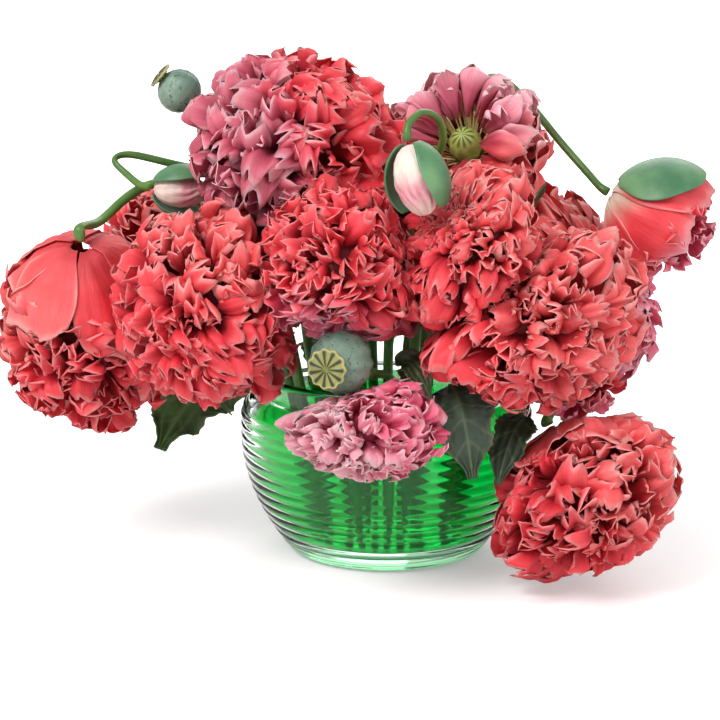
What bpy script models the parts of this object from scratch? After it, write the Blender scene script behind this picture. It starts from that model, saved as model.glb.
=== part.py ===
"""A bowl of double poppies: ruffled blooms, buds, seed heads and leaves on cut stems, standing in tinted water
in a ribbed glass bowl. +Z is up, -Y is the front, and the origin is the centre of the flat glass foot.
Every number in the tables below is in millimetres or degrees; MM turns millimetres into Blender's metres."""

import math

import bmesh
import bpy
from mathutils import Matrix, Vector

MM = 0.001
TOUCH = 0.4  # free space between two pieces that meet
PRESS = 1.0  # free space a soft bloom keeps from a stem, pod, leaf or the glass

# ---- the glass bowl and its water ----
FOOT_R = 49.0
BELLY_R, BELLY_LOW, BELLY_HIGH = 76.0, 62.0, 71.0
NECK_R, NECK_Z = 67.0, 83.0
RIM_R, RIM_Z = 70.0, 97.0
WALL, FLOOR = 4.6, 8.0
RIB_PITCH, RIB_DEPTH, RIB_FIRST, RIB_LAST = 5.6, 1.5, 3.0, 75.0
WATER_Z = 78.0
BOWL_STEPS = 36

# ---- the cut stems: each stands on the floor of the bowl and leans out through its mouth ----
STEM_FOOT_Z = FLOOR + 1.6
MOUTH_Z = 99.0
OUTER_RING = (33.0, 52.0)  # distance from the bowl's axis at the floor and at the mouth
INNER_RING = (17.0, 27.0)
MIDDLE = (0.0, 0.0)
STEM_SIDES = 8
RECEPTACLE = 1.35  # how much a stem swells where it carries a bloom

# ---- the blooms ----
# name: centre, half sizes (across, upwards, along the way it faces), facing (turn to the right, tilt up, roll
# clockwise as seen from the front), firmness
# The firmer of two blooms that press together keeps more of its shape.
BLOOMS = {
    "crown": ((-48, -22, 209), (56, 51, 48), (-25, 30, 0), 2.0),
    "left": ((-86, -62, 141), (51, 50, 40), (-30, 0, 0), 2.0),
    "far_left": ((-153, -13, 118), (45, 44, 57), (180, -63, 0), 1.5),
    "centre": ((-20, -80, 157), (50, 50, 38), (0, 0, 0), 1.8),
    "centre_right": ((35, -86, 177), (37, 50, 38), (12, 15, 0), 4.0),
    "right": ((62, -83, 142), (63, 51, 38), (14, -8, 0), 2.0),
    "top": ((41, 8, 209), (42, 40, 38), (-15, 35, 0), 1.5),
    "right_back": ((103, 12, 138), (46, 55, 42), (76, 10, 0), 1.0),
    "right_low": ((101, 40, 85), (29, 28, 28), (80, -20, 0), 1.0),
    "hanging": ((91, -78, 49), (56, 48, 37), (31, -54, -10), 1.0),
    "pink": ((-14, -103, 95), (44, 31, 27), (-10, -40, 22), 1.0),
    "left_back": ((-119, 42, 148), (36, 36, 35), (-110, 0, 0), 1.0),
    "back_left": ((-72, 66, 142), (46, 47, 38), (-145, 0, 0), 1.0),
    "back_centre": ((0, 84, 132), (48, 47, 38), (180, -5, 0), 1.0),
    "back_right": ((70, 76, 138), (46, 47, 38), (145, 0, 0), 1.0),
    "back_top": ((-14, 48, 182), (44, 44, 36), (180, 50, 0), 1.0),
}
BLOOM_SEGMENTS, BLOOM_RINGS = 16, 10

# name: (ring, angle round the bowl), points on the way, radius. It ends behind its bloom, facing as the bloom does.
STEMS = {
    "crown": (INNER_RING, 130, [], 3.3),
    "left": (OUTER_RING, 208, [], 3.2),
    "far_left": (
        OUTER_RING, 184,
        [(-76, 6, 150), (-98, 13, 183), (-116, 13, 191), (-133, 3, 185), (-146, -18, 174)], 3.1,
    ),
    "centre": (INNER_RING, 240, [], 3.1),
    "centre_right": (INNER_RING, 300, [], 3.1),
    "right": (OUTER_RING, 352, [], 3.2),
    "top": (INNER_RING, 40, [], 3.1),
    "right_back": (OUTER_RING, 33, [], 3.2),
    "right_low": (OUTER_RING, 14, [(64, 24, 107)], 2.8),
    "hanging": (OUTER_RING, 324, [(57, -41, 108), (75, -52, 105), (84, -56, 88)], 3.3),
    "pink": (OUTER_RING, 272, [(0, -68, 108), (-6, -83, 111)], 2.6),
    "left_back": (OUTER_RING, 162, [], 2.8),
    "back_left": (OUTER_RING, 142, [], 3.1),
    "back_centre": (OUTER_RING, 98, [], 3.1),
    "back_right": (OUTER_RING, 61, [], 3.1),
    "back_top": (INNER_RING, 88, [], 3.0),
}

# ---- the half-open bloom that nods over on the right ----
NODDING = ((139, -2, 174), (30, 30, 28), (83, -27))
NODDING_STEM = (
    OUTER_RING, 78,
    [(28, 46, 150), (42, 60, 200), (53, 46, 242), (70, 42, 233), (91, 25, 209), (106, 9, 193)], 2.6,
)

# ---- the buds: centre, half sizes (across, along), facing, stem ring and angle, points on the way, radius ----
BUDS = {
    "front": ((13, -96, 208), (12.5, 18), (70, -76), MIDDLE, 0,
              [(8, -10, 150), (17, -26, 192), (27, -55, 222), (22, -73, 236), (14, -86, 240)], 2.4),
    "left": ((-105, -4, 189), (10.5, 14.5), (95, -6), INNER_RING, 172,
             [(-60, 20, 160), (-86, 20, 191), (-111, 8, 201), (-135, 5, 207),
              (-141.5, 0, 204), (-133, -4, 198)], 2.5),
}
SEPAL_WALL, SEPAL_LIFT = 1.3, 2.2

# ---- the seed heads: centre, radius, facing, stem ----
PODS = {
    "high": ((-106, 10, 238), 11.5, (-82, 40), OUTER_RING, 120, [(-36, 36, 150), (-62, 30, 198)], 2.3),
    "front": ((-23, -99, 121), 16.0, (-22, 2), OUTER_RING, 247, [], 2.7),
}
POD_RAYS = 11
OPEN_POD = ("top", 8.0)  # the young seed head that shows in the open bloom

# ---- the leaves: three points of the midrib, the way the face looks, width, lobes a side ----
LEAVES = {
    "left": ([(-58, 47, 106), (-96, 66, 84), (-122, 34, 42)], (-0.35, -0.8, 0.4), 58, 4),
    "front": ([(30, -62, 101), (36, -86, 104), (41, -86, 60)], (0.1, -1, 0.25), 36, 3),
    "pink": ([(6, -68, 112), (12, -82, 122), (20, -86, 100)], (0.4, -1, 0.2), 15, 2),
    "top": ([(62, -22, 172), (70, -30, 186), (78, -40, 198)], (0.6, -0.6, 0.5), 14, 2),
    "hanging": ([(69, -58, 84), (60, -71, 82), (54, -80, 55)], (-0.3, -0.8, 0.6), 22, 2),
    "back": ([(-18, 64, 104), (-26, 88, 96), (-34, 82, 40)], (-0.3, 1, 0.1), 46, 3),
}
LEAF_WALL = 1.0
LEAF_LONG, LEAF_WIDE = 12, 6

COLOURS = {  # base colour, roughness, transmission
    "glass": ((0.86, 0.93, 0.90), 0.05, 1.0),
    "water": ((0.00, 0.38, 0.05), 0.05, 0.6),
    "coral": ((0.80, 0.05, 0.06), 0.6, 0.0),
    "rose": ((0.72, 0.18, 0.28), 0.6, 0.0),
    "blush": ((0.80, 0.42, 0.48), 0.6, 0.0),
    "stem": ((0.10, 0.22, 0.05), 0.5, 0.0),
    "sepal": ((0.10, 0.24, 0.10), 0.5, 0.0),
    "pod": ((0.16, 0.26, 0.20), 0.6, 0.0),
    "rays": ((0.42, 0.40, 0.10), 0.7, 0.0),
    "leaf": ((0.05, 0.13, 0.05), 0.55, 0.0),
}
BLOOM_COLOURS = {"pink": "rose", "crown": "coral"}


def new_collection(name):
    found = bpy.data.collections.new(name)
    bpy.context.scene.collection.children.link(found)
    return found


def material(name):
    """A Principled material, made once for each kind of surface."""
    if name in bpy.data.materials:
        return bpy.data.materials[name]
    made = bpy.data.materials.new(name)
    made.use_nodes = True
    shader = made.node_tree.nodes["Principled BSDF"]
    colour, roughness, transmission = COLOURS[name]
    shader.inputs["Base Color"].default_value = (*colour, 1)
    shader.inputs["Roughness"].default_value = roughness
    shader.inputs["Transmission Weight"].default_value = transmission
    return made


def place(obj, name, kind):
    """Names the object and its mesh, gives it its material and puts it with the parts."""
    obj.name = name
    obj.data.name = name
    obj.data.materials.clear()
    obj.data.materials.append(material(kind))
    for holder in list(obj.users_collection):
        holder.objects.unlink(obj)
    PARTS.objects.link(obj)
    return obj


def object_of(bm, name, kind):
    mesh = bpy.data.meshes.new(name)
    bm.to_mesh(mesh)
    bm.free()
    mesh.shade_smooth()
    obj = bpy.data.objects.new(name, mesh)
    return place(obj, name, kind)


def facing(turn, tilt, roll=0):
    """The unit vector that looks to the front, turned to the right and tilted up by these degrees."""
    turn, tilt = math.radians(turn), math.radians(tilt)
    return Vector((math.sin(turn) * math.cos(tilt), -math.cos(turn) * math.cos(tilt), math.sin(tilt)))


def frame_of(turn, tilt, roll=0):
    """Columns: across, upwards and along the way a piece faces. It rolls clockwise as seen from its front."""
    along = facing(turn, tilt)
    angle = math.radians(turn)
    across = Matrix.Rotation(-math.radians(roll), 3, along) @ Vector((math.cos(angle), math.sin(angle), 0))
    return Matrix((across, along.cross(across), along)).transposed()


# ---- glass and water ----


def bowl_radius(z):
    """The bowl's outer radius without its ribs: a swelling side, an upright belly and a round shoulder."""
    if z < BELLY_LOW:
        return FOOT_R + (BELLY_R - FOOT_R) * math.sin(math.pi / 2 * z / BELLY_LOW) ** 0.8
    if z < BELLY_HIGH:
        return BELLY_R
    if z < NECK_Z:
        turn = (z - BELLY_HIGH) / (NECK_Z - BELLY_HIGH)
        return NECK_R + (BELLY_R - NECK_R) * math.sqrt(1 - turn**2)
    rise = (z - NECK_Z) / (RIM_Z - NECK_Z)
    return NECK_R + (RIM_R - NECK_R) * rise**2


def turned(name, profile, kind):
    """A solid of revolution from (radius, height) pairs that run up the inside and down the outer side."""
    bm = bmesh.new()
    rings = [bm.verts.new((r * MM, 0, z * MM)) for r, z in profile]
    for a, b in zip(rings, rings[1:]):
        bm.edges.new((a, b))
    obj = object_of(bm, name, kind)
    screw = obj.modifiers.new("turn", "SCREW")
    screw.axis = "Z"
    screw.steps = screw.render_steps = BOWL_STEPS
    screw.use_merge_vertices = True
    screw.merge_threshold = 0.00005
    return obj


def make_bowl():
    inner = [(0, FLOOR), (bowl_radius(FLOOR) - WALL - 4, FLOOR)]
    heights = [FLOOR + 4, 22, 38, 52, BELLY_LOW, BELLY_HIGH, WATER_Z, 81, NECK_Z, 90, RIM_Z - 1]
    inner += [(bowl_radius(z) - WALL, z) for z in heights]
    outer = [(RIM_R - WALL / 2, RIM_Z), (RIM_R, RIM_Z - 1.5), (bowl_radius(88), 88), (NECK_R, NECK_Z), (72, 79)]
    ribs = int((RIB_LAST - RIB_FIRST) / RIB_PITCH)
    for rib in range(ribs, -1, -1):
        crest = RIB_FIRST + rib * RIB_PITCH
        outer += [(bowl_radius(crest), crest), (bowl_radius(crest) - RIB_DEPTH, crest - RIB_PITCH / 2)]
    outer = [p for p in outer if p[1] > 1] + [(FOOT_R - 1, 0), (0, 0)]
    return turned("bowl", inner + outer, "glass")


def stem_line(ring, angle):
    """Where a stem stands on the floor and where it passes the mouth, in millimetres."""
    turn = Vector((math.cos(math.radians(angle)), math.sin(math.radians(angle)), 0))
    return turn * ring[0] + Vector((0, 0, STEM_FOOT_Z)), turn * ring[1] + Vector((0, 0, MOUTH_Z))


def make_water(lines):
    """The water fills the bowl round the stems that stand in it."""
    inside = [FLOOR + 4, 22, 38, 52, BELLY_LOW, BELLY_HIGH]
    wall = [(bowl_radius(z) - WALL - TOUCH, z) for z in inside]
    top = bowl_radius(WATER_Z) - WALL - TOUCH
    side = [(top, WATER_Z)] + wall[::-1]
    bottom = [(bowl_radius(FLOOR) - WALL - 5, FLOOR + TOUCH), (0, FLOOR + TOUCH)]
    water = turned("water", [(0, WATER_Z)] + side + bottom, "water")
    bm = bmesh.new()
    for (foot, mouth), radius in lines:
        up = mouth - foot
        turn = up.to_track_quat("Z", "Y").to_matrix().to_4x4()
        middle = Matrix.Translation((foot + mouth) / 2 * MM)
        room = (radius + TOUCH) / math.cos(math.pi / STEM_SIDES) * MM
        bmesh.ops.create_cone(
            bm, cap_ends=True, segments=STEM_SIDES, radius1=room, radius2=room,
            depth=up.length * 1.12 * MM, matrix=middle @ turn,
        )
    cutter = object_of(bm, "stem_cutter", "water")
    PARTS.objects.unlink(cutter)
    CUTTERS.objects.link(cutter)
    cutter.hide_render = True
    cutter.display_type = "WIRE"
    cut = water.modifiers.new("stems", "BOOLEAN")
    cut.operation = "DIFFERENCE"
    cut.object = cutter
    return water


# ---- stems ----


def smooth_path(points, step):
    """A Catmull-Rom curve through the points, about step millimetres between its own points."""
    points = [Vector(p) for p in points]
    ends = [points[0] * 2 - points[1]] + points + [points[-1] * 2 - points[-2]]
    path = []
    for a, b, c, d in zip(ends, ends[1:], ends[2:], ends[3:]):
        count = max(1, round((c - b).length / step))
        for i in range(count):
            t = i / count
            path.append(
                0.5 * ((2 * b) + (c - a) * t + (2 * a - 5 * b + 4 * c - d) * t**2
                       + (3 * b - a - 3 * c + d) * t**3)
            )
    return path + [points[-1]]


def stem_path(line, via, end, way, step=11.0):
    """From the floor straight out of the mouth, through the via points, and into the end along its way."""
    foot, mouth = line
    reach = (end - (Vector(via[-1]) if via else mouth)).length
    lead = [] if via else [mouth + (mouth - foot).normalized() * reach * 0.33]
    last = end - way * min(16.0, reach * 0.4)
    return [foot] + smooth_path([mouth] + lead + [Vector(p) for p in via] + [last, end], step)


def make_stem(name, path, radius, swell):
    curve = bpy.data.curves.new(name, "CURVE")
    curve.dimensions = "3D"
    curve.bevel_depth = radius * MM
    curve.bevel_resolution = 2
    curve.use_fill_caps = True
    spline = curve.splines.new("POLY")
    spline.points.add(len(path) - 1)
    for i, (point, at) in enumerate(zip(spline.points, path)):
        point.co = (*(at * MM), 1)
        point.radius = swell if i == len(path) - 1 else 1.0 - 0.18 * i / len(path)
    return place(bpy.data.objects.new(name, curve), name, "stem")


def along_path(path, step=4.0):
    """Points every few millimetres along a path, to keep soft pieces clear of it."""
    found = []
    for a, b in zip(path, path[1:]):
        count = max(1, math.ceil((b - a).length / step))
        found += [a.lerp(b, i / count) for i in range(count)]
    return found + [path[-1]]


# ---- blooms ----


def reach_of(half, axes, way):
    """How far an ellipsoid reaches in a direction, from its centre to its tangent plane."""
    local = axes.transposed() @ way
    return math.sqrt(sum((h * c) ** 2 for h, c in zip(half, local)))


def cuts_for(name, shapes, obstacles):
    """The planes (normal, distance from the centre) that hold a bloom clear of what it presses against."""
    centre, half, axes, firm = shapes[name]
    cuts = []
    for other, (centre2, half2, axes2, firm2) in shapes.items():
        if other == name:
            continue
        way = (centre2 - centre).normalized()
        apart = (centre2 - centre).length
        mine, theirs = reach_of(half, axes, way), reach_of(half2, axes2, -way)
        over = mine + theirs - apart
        if over > -TOUCH:
            cuts.append((way, mine - max(over, 0) * firm2 / (firm + firm2) - TOUCH / 2))
    for point, radius, owner in obstacles:
        way = (point - centre).normalized()
        room = (point - centre).length - radius - PRESS
        if owner != name and room < reach_of(half, axes, way):
            cuts.append((way, room))
    return cuts


def make_bloom(name, shapes, obstacles, kind):
    """An ellipsoid of petals, flattened where it presses against its neighbours."""
    centre, half, axes, _ = shapes[name]
    bm = bmesh.new()
    bmesh.ops.create_uvsphere(bm, u_segments=BLOOM_SEGMENTS, v_segments=BLOOM_RINGS, radius=1)
    cuts = cuts_for(name, shapes, obstacles)
    for vert in bm.verts:
        at = axes @ Vector([h * c for h, c in zip(half, vert.co)])
        for way, room in cuts:
            out = at.dot(way)
            if out > room:
                at *= room / out
        vert.co = (centre + at) * MM
    return object_of(bm, "bloom_" + name, kind)


# ---- buds, the half-open bloom and seed heads ----


def oriented(bm, centre, axes):
    """Turns a shape made round Z, in millimetres, to its facing and moves it to its place, in metres."""
    matrix = Matrix.Translation(centre * MM) @ axes.to_4x4() @ Matrix.Scale(MM, 4)
    bmesh.ops.transform(bm, matrix=matrix, verts=bm.verts)


def round_body(half, squeeze=1.0, segments=16, rings=10):
    """A closed round body about Z in millimetres: squeeze below 1 narrows it towards its tip."""
    bm = bmesh.new()
    bmesh.ops.create_uvsphere(bm, u_segments=segments, v_segments=rings, radius=1)
    for vert in bm.verts:
        taper = 1 + (squeeze - 1) * (vert.co.z + 1) / 2
        vert.co = (vert.co.x * half[0] * taper, vert.co.y * half[0] * taper, vert.co.z * half[1])
    return bm


def make_sepal(name, centre, axes, half, turn, cover, reach):
    """A cupped green shell over one side of a bud. It covers that many degrees and reaches from the base
    to this share of the bud's length."""
    bm = bmesh.new()
    rows, columns = 7, 6
    grid = []
    for i in range(rows + 1):
        line = []
        t = i / rows
        polar = math.pi - math.pi * (0.10 + (reach - 0.10) * t)
        width = math.radians(cover) * math.sin(math.pi * (0.22 + 0.70 * t)) ** 0.7
        for j in range(columns + 1):
            angle = math.radians(turn) + width * (j / columns - 0.5)
            out = half[0] + SEPAL_LIFT + 2.0 * t**2
            line.append(bm.verts.new((
                out * math.sin(polar) * math.cos(angle), out * math.sin(polar) * math.sin(angle),
                (half[1] + 0.8) * math.cos(polar),
            )))
        grid.append(line)
    for low, high in zip(grid, grid[1:]):
        for j in range(columns):
            bm.faces.new((low[j], low[j + 1], high[j + 1], high[j]))
    bmesh.ops.recalc_face_normals(bm, faces=bm.faces)
    oriented(bm, centre, axes)
    obj = object_of(bm, name, "sepal")
    wall = obj.modifiers.new("wall", "SOLIDIFY")
    wall.thickness = SEPAL_WALL * MM
    wall.offset = 0
    return obj


def make_bud(name, centre, half, turn_tilt):
    axes = frame_of(*turn_tilt)
    bm = round_body(half, 0.8)
    oriented(bm, centre, axes)
    object_of(bm, f"bud_{name}_petals", "blush")
    for side, turn, cover in (("right", 100, 105), ("left", 285, 80)):
        make_sepal(f"bud_{name}_sepal_{side}", centre, axes, half, turn, cover, 0.78)


def make_pod(name, centre, radius, turn_tilt):
    """A round seed head, and the rayed disc that caps it."""
    axes = frame_of(*turn_tilt)
    bm = round_body((radius, radius), 1.0)
    oriented(bm, centre, axes)
    object_of(bm, f"pod_{name}", "pod")
    bm = bmesh.new()
    disc = radius * 0.60
    bmesh.ops.create_cone(
        bm, cap_ends=True, segments=POD_RAYS * 2, radius1=disc, radius2=disc * 0.92, depth=radius * 0.16,
    )
    for vert in bm.verts:
        turn = math.atan2(vert.co.y, vert.co.x) * POD_RAYS
        vert.co.xy *= 1 + 0.09 * math.cos(turn)
        vert.co.z += radius * 1.0 + TOUCH + radius * 0.10
    oriented(bm, centre, axes)
    object_of(bm, f"pod_{name}_disc", "rays")


# ---- leaves ----


def leaf_points(midrib, look, width, lobes):
    """Rows of points across a lobed leaf that bends along its midrib, and the way each row faces."""
    a, b, c = (Vector(p) for p in midrib)
    look = Vector(look).normalized()
    rows = []
    for i in range(LEAF_LONG + 1):
        t = 0.02 + 0.98 * i / LEAF_LONG
        at = a * (1 - t) ** 2 + b * 2 * t * (1 - t) + c * t**2
        run = ((b - a) * (1 - t) + (c - b) * t).normalized()
        side = run.cross(look).normalized()
        lobe = 0.80 + 0.20 * abs(math.sin(math.pi * lobes * t))
        half = width / 2 * (math.sin(math.pi * min(t, 0.97) ** 0.8) ** 0.7 * lobe) + 0.8
        cup = side.cross(run)
        row = []
        for j in range(LEAF_WIDE + 1):
            u = 2 * j / LEAF_WIDE - 1
            row.append(at + side * half * u + cup * (0.16 * half * u**2))
        rows.append(row)
    return rows


def make_leaf(name, rows):
    bm = bmesh.new()
    grid = [[bm.verts.new(p * MM) for p in row] for row in rows]
    for low, high in zip(grid, grid[1:]):
        for j in range(LEAF_WIDE):
            bm.faces.new((low[j], low[j + 1], high[j + 1], high[j]))
    obj = object_of(bm, "leaf_" + name, "leaf")
    wall = obj.modifiers.new("wall", "SOLIDIFY")
    wall.thickness = LEAF_WALL * MM
    wall.offset = 0
    return obj


# ---- the whole bunch ----


def glass_obstacles():
    """Points round the rim, shoulder and belly of the bowl that the blooms keep clear of."""
    found = []
    for z in (RIM_Z, 88, 80, BELLY_HIGH, BELLY_LOW, 50, 36, 22):
        for i in range(48):
            turn = 2 * math.pi * i / 48
            radius = bowl_radius(z)
            found.append((Vector((radius * math.cos(turn), radius * math.sin(turn), z)), 0.5, "bowl"))
    return found


def main():
    lines, obstacles = [], glass_obstacles()

    def grow(name, ring, angle, via, radius, end, way, swell, owner=""):
        line = stem_line(ring, angle)
        lines.append((line, radius))
        path = stem_path(line, via, end - way * (TOUCH + 0.2), way)
        make_stem("stem_" + name, path, radius, swell)
        samples = along_path(path)
        for i, point in enumerate(samples):
            near_end = (samples[-1] - point).length < radius * 2.2
            obstacles.append((point, radius, owner if near_end else ""))

    shapes = {
        name: (Vector(centre), half, frame_of(*turn_tilt), firm)
        for name, (centre, half, turn_tilt, firm) in BLOOMS.items()
    }
    for name, (ring, angle, via, radius) in STEMS.items():
        centre, half, axes, _ = shapes[name]
        way = axes.col[2]
        grow(name, ring, angle, via, radius, centre - way * half[2], way, RECEPTACLE, name)

    centre, half, turn_tilt = NODDING
    centre, axes = Vector(centre), frame_of(*turn_tilt)
    ring, angle, via, radius = NODDING_STEM
    grow("nodding", ring, angle, via, radius, centre - axes.col[2] * half[2], axes.col[2], 1.2)
    bm = round_body((half[0], half[2]))
    oriented(bm, centre, axes)
    object_of(bm, "bloom_nodding", "coral")
    make_sepal("sepal_nodding", centre, axes, (half[0], half[2]), 90, 150, 0.62)
    obstacles.append((centre, half[0] + 2.5, ""))

    for name, (centre, half, turn_tilt, ring, angle, via, radius) in BUDS.items():
        centre, way = Vector(centre), facing(*turn_tilt)
        grow("bud_" + name, ring, angle, via, radius, centre - way * half[1], way, 1.1)
        make_bud(name, centre, half, turn_tilt)
        for share in (-0.5, 0.1, 0.6):
            obstacles.append((centre + way * half[1] * share, half[0] + 3.5, ""))

    for name, (centre, radius, turn_tilt, ring, angle, via, thick) in PODS.items():
        centre, way = Vector(centre), facing(*turn_tilt)
        grow("pod_" + name, ring, angle, via, thick, centre - way * radius, way, 1.1)
        make_pod(name, centre, radius, turn_tilt)
        obstacles.append((centre, radius, ""))
        obstacles.append((centre + way * radius * 1.1, radius * 0.66, ""))

    for name, (midrib, look, width, lobes) in LEAVES.items():
        rows = leaf_points(midrib, look, width, lobes)
        make_leaf(name, rows)
        obstacles.extend((point, LEAF_WALL, "") for row in rows for point in row)

    make_bowl()
    make_water(lines)
    for name in BLOOMS:
        make_bloom(name, shapes, obstacles, BLOOM_COLOURS.get(name, "coral"))


for old in list(bpy.data.objects):
    bpy.data.objects.remove(old)
PARTS = new_collection("poppies in a bowl")
CUTTERS = new_collection("cutters")
main()
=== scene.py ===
import bmesh
import bpy
import numpy as np
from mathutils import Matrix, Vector


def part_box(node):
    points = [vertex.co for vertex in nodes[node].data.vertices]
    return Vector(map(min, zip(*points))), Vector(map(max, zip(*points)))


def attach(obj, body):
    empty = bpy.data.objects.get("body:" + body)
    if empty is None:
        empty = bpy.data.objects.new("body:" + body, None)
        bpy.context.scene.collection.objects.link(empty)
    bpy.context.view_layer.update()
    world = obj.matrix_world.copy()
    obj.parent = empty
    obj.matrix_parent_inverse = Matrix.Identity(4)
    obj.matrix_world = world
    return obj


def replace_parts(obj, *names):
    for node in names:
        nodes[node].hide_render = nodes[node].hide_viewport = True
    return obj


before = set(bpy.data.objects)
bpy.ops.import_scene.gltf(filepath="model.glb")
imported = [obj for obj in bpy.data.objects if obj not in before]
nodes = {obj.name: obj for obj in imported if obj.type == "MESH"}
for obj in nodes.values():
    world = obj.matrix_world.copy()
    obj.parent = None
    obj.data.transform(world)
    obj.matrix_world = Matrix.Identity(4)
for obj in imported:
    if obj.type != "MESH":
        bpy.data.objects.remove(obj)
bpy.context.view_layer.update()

mm = 0.001


def facingAxes(turn, tilt, roll=0):
    # columns: across, upwards, along the way a piece faces; it faces the front, turned right and tilted up
    turn, tilt, roll = np.radians([turn, tilt, roll])
    along = np.array([np.sin(turn) * np.cos(tilt), -np.cos(turn) * np.cos(tilt), np.sin(tilt)])
    level = np.array([np.cos(turn), np.sin(turn), 0.0])
    upright = np.cross(along, level)
    across = level * np.cos(roll) - upright * np.sin(roll)
    return np.stack([across, np.cross(along, across), along], axis=1)


def unit(v):
    return v / np.linalg.norm(v, axis=-1, keepdims=True)


def smooth(edge0, edge1, x):
    # 0 below the first edge, 1 above the second, and an S between them
    t = np.clip((x - edge0) / (edge1 - edge0), 0, 1)
    return t * t * (3 - 2 * t)


def blend(a, b, share):
    return a * (1 - share) + b * share


def trianglesOf(node):
    # the node's triangles as an array (triangle, corner, xyz)
    mesh = nodes[node].data
    mesh.calc_loop_triangles()
    points = np.empty(len(mesh.vertices) * 3)
    mesh.vertices.foreach_get("co", points)
    corners = np.empty(len(mesh.loop_triangles) * 3, dtype=np.int32)
    mesh.loop_triangles.foreach_get("vertices", corners)
    return points.reshape(-1, 3)[corners].reshape(-1, 3, 3)


def middleOf(node):
    low, high = (np.array(corner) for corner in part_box(node))
    return (low + high) / 2


class Body:
    # a solid seen from its middle: how far its skin is in each direction
    def __init__(self, node):
        self.middle = middleOf(node)
        self.inverse = np.linalg.pinv(np.transpose(trianglesOf(node) - self.middle, (0, 2, 1)))

    def reach(self, ways):
        # solves way = a*p + b*q + c*r for each triangle pqr; the triangle with no negative share is hit,
        # at a distance of 1 / (a + b + c)
        flat = ways.reshape(-1, 3)
        found = np.empty(len(flat))
        for start in range(0, len(flat), 20000):
            shares = np.einsum("kij,nj->nki", self.inverse, flat[start:start + 20000])
            best = shares.min(axis=2).argmax(axis=1)
            total = shares[np.arange(len(best)), best].sum(axis=1)
            found[start:start + 20000] = 1 / np.maximum(total, 1e-6)
        return found.reshape(ways.shape[:-1])


def sheetFaces(rows, columns):
    # quads of a thin closed sheet: a front grid, a back grid after it, and the rim between them
    at = np.arange(rows * columns).reshape(rows, columns)
    front = np.stack([at[:-1, :-1], at[:-1, 1:], at[1:, 1:], at[1:, :-1]], axis=-1).reshape(-1, 4)
    back = front[:, ::-1] + rows * columns
    other = at + rows * columns
    rims = []
    edges = ((other[0], at[0]), (at[-1], other[-1]), (at[:, 0], other[:, 0]), (other[:, -1], at[:, -1]))
    for a, b in edges:
        rims.append(np.stack([a[:-1], a[1:], b[1:], b[:-1]], axis=-1))
    return front, back, np.concatenate(rims)


def meshFrom(name, points, faces, material, flags=None, colours=None, uv=None):
    # one finished piece from points and quads; flags say where on its petal or leaf each point lies
    mesh = bpy.data.meshes.new(name)
    mesh.vertices.add(len(points))
    mesh.vertices.foreach_set("co", points.astype(np.float32).ravel())
    mesh.loops.add(faces.size)
    mesh.loops.foreach_set("vertex_index", faces.astype(np.int32).ravel())
    mesh.polygons.add(len(faces))
    mesh.polygons.foreach_set("loop_start", np.arange(0, faces.size, 4, dtype=np.int32))
    mesh.update(calc_edges=True)
    mesh.shade_smooth()
    if flags is not None:
        kept = mesh.attributes.new("petalAt", "FLOAT_VECTOR", "POINT")
        kept.data.foreach_set("vector", flags.astype(np.float32).ravel())
    if colours is not None:
        kept = mesh.attributes.new("petalTint", "FLOAT_COLOR", "POINT")
        whole = np.concatenate([colours, np.ones((len(colours), 1))], axis=1)
        kept.data.foreach_set("color", whole.astype(np.float32).ravel())
    if uv is not None:
        layer = mesh.uv_layers.new(name="OFBake")
        layer.data.foreach_set("uv", uv.astype(np.float32).ravel())
    mesh.validate()
    piece = bpy.data.objects.new(name, mesh)
    bpy.context.scene.collection.objects.link(piece)
    mesh.materials.append(material)
    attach(piece, "root")
    return piece


def thinSheets(name, groups, thick, material):
    # each group: points (sheet, row, column, xyz), flags and colours alike; every sheet becomes a closed
    # thin petal. Each side of each sheet gets its own cell of the UV square, with a gap round it
    allPoints, allFaces, allFlags, allColours, allUv = [], [], [], [], []
    offset, cell = 0, 0
    total = sum(2 * len(g[0]) for g in groups)
    across = int(np.ceil(np.sqrt(total)))
    gap = 0.04
    for points, flags, colours in groups:
        count, rows, columns = points.shape[:3]
        along = np.gradient(points, axis=2)
        up = np.gradient(points, axis=1)
        normal = unit(np.cross(along, up) + 1e-12)
        size = rows * columns
        both = np.stack([points + normal * thick / 2, points - normal * thick / 2], axis=1)
        front, back, rim = sheetFaces(rows, columns)
        faces = np.concatenate([front, back, rim])
        steps = np.arange(count)[:, None, None] * 2 * size + offset
        v, u = np.meshgrid(np.linspace(0, 1, rows), np.linspace(0, 1, columns), indexing="ij")
        local = np.stack([u, v], axis=-1).reshape(-1, 2)
        cells = cell + np.arange(count)
        corner = []
        for shift in (0, count):
            at = cells + shift
            place = np.stack([at % across, at // across], axis=-1)[:, None, :]
            corner.append((place + gap + local[None] * (1 - 2 * gap)) / across)
        uvFront, uvBack = corner
        allUv.append(np.concatenate([uvFront[:, front.ravel()], uvBack[:, back.ravel() - size],
                                     uvFront[:, rim.ravel() % size]], axis=1).reshape(count, -1, 4, 2))
        allPoints.append(both.reshape(-1, 3))
        allFaces.append((faces[None] + steps).reshape(-1, 4))
        allFlags.append(np.repeat(flags.reshape(count, 1, size, 3), 2, axis=1).reshape(-1, 3))
        allColours.append(np.repeat(colours.reshape(count, 1, size, 3), 2, axis=1).reshape(-1, 3))
        offset += count * 2 * size
        cell += 2 * count
    uv = np.concatenate([part.reshape(-1, 2) for part in allUv])
    return meshFrom(name, np.concatenate(allPoints), np.concatenate(allFaces), material,
                    np.concatenate(allFlags), np.concatenate(allColours), uv)


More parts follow.
